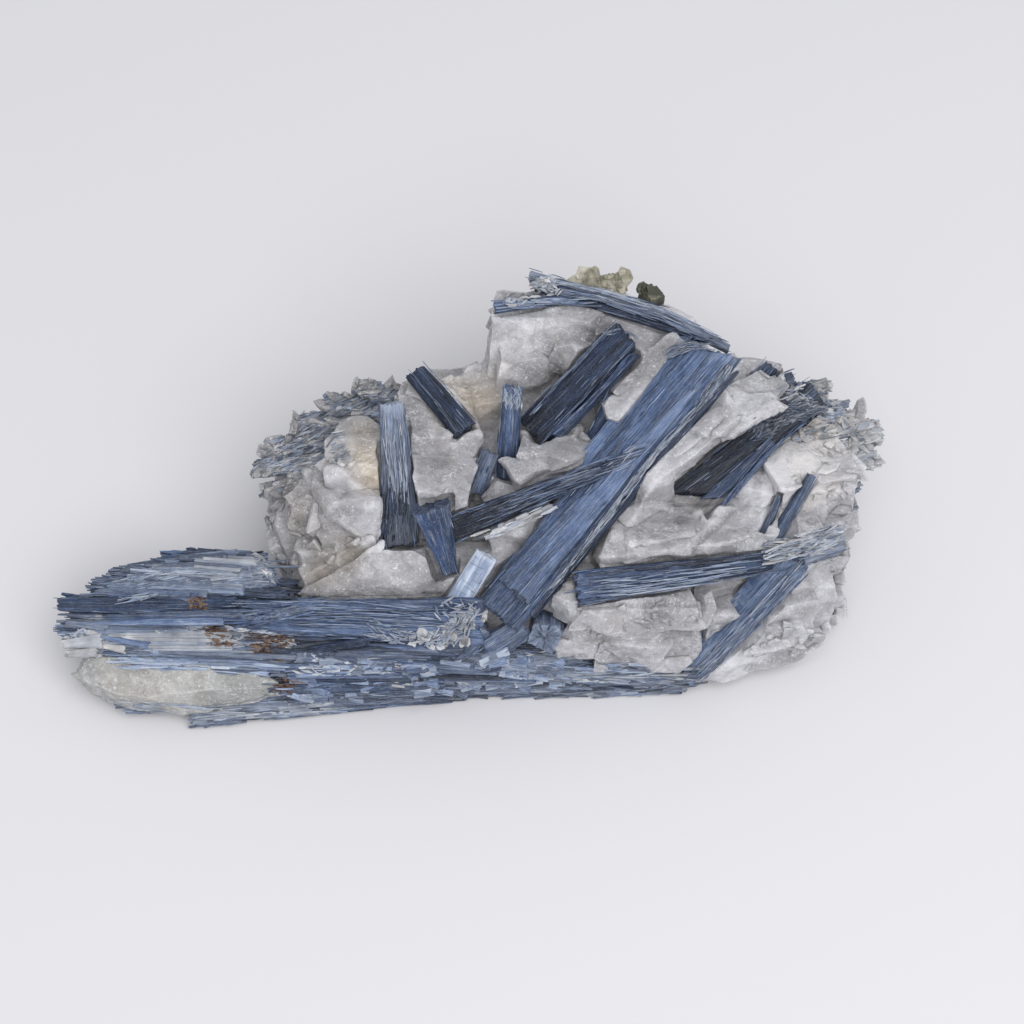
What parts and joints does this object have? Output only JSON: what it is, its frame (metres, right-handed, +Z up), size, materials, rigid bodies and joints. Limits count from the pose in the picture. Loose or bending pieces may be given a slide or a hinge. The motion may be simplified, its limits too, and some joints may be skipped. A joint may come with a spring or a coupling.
{
  "type": "mineral specimen",
  "caption": "Hand-sized mineral specimen: long flat blue kyanite blades cross a broken lump of milky quartz, with a thin fibrous sheaf at one end.",
  "frame": {"origin": "centre of the bounding box on the flat underside that the specimen lies on", "axes": "+X along the specimen from the fibrous sheaf to the ragged end, +Y from the front face to the far side, +Z up"},
  "size_m": [0.1506, 0.0722, 0.0516],
  "materials": {
    "quartz": "milky white to grey quartz with glassy broken faces",
    "yellow_quartz": "yellowish grey translucent quartz",
    "kyanite": "dark blue kyanite with a silky lengthwise grain",
    "pale_kyanite": "pale grey-blue fibrous kyanite",
    "mica": "pale brown and dark green mica flakes"
  },
  "bodies": {
    "root": {"back_blade": "kyanite", "back_left_blade": "kyanite", "back_right_blade": "kyanite", "back_splinter": "kyanite", "cap_blade": "kyanite", "chip_left": "kyanite", "chip_mid": "kyanite", "crevice_blade": "kyanite", "crossed_blades": "kyanite", "fan_stub": "kyanite", "foot_layers": "pale_kyanite", "forked_blade": "kyanite", "glassy_blade": "kyanite", "green_mica": "mica", "hex_stub": "kyanite", "hidden_blade": "kyanite", "kyanite_sheaf": "pale_kyanite", "left_edge_blades": "pale_kyanite", "left_upright_blade": "kyanite", "mica_book": "mica", "quartz_matrix": "quartz", "rear_blade_high": "kyanite", "rear_blade_left": "kyanite", "rear_blade_low": "kyanite", "right_blade": "kyanite", "right_edge_blades": "pale_kyanite", "right_flank_blades": "pale_kyanite", "right_splinters": "kyanite", "sheaf_blade": "kyanite", "small_upright_blade": "kyanite", "tail_quartz": "yellow_quartz", "upper_blade": "kyanite"}
  },
  "joints": []
}
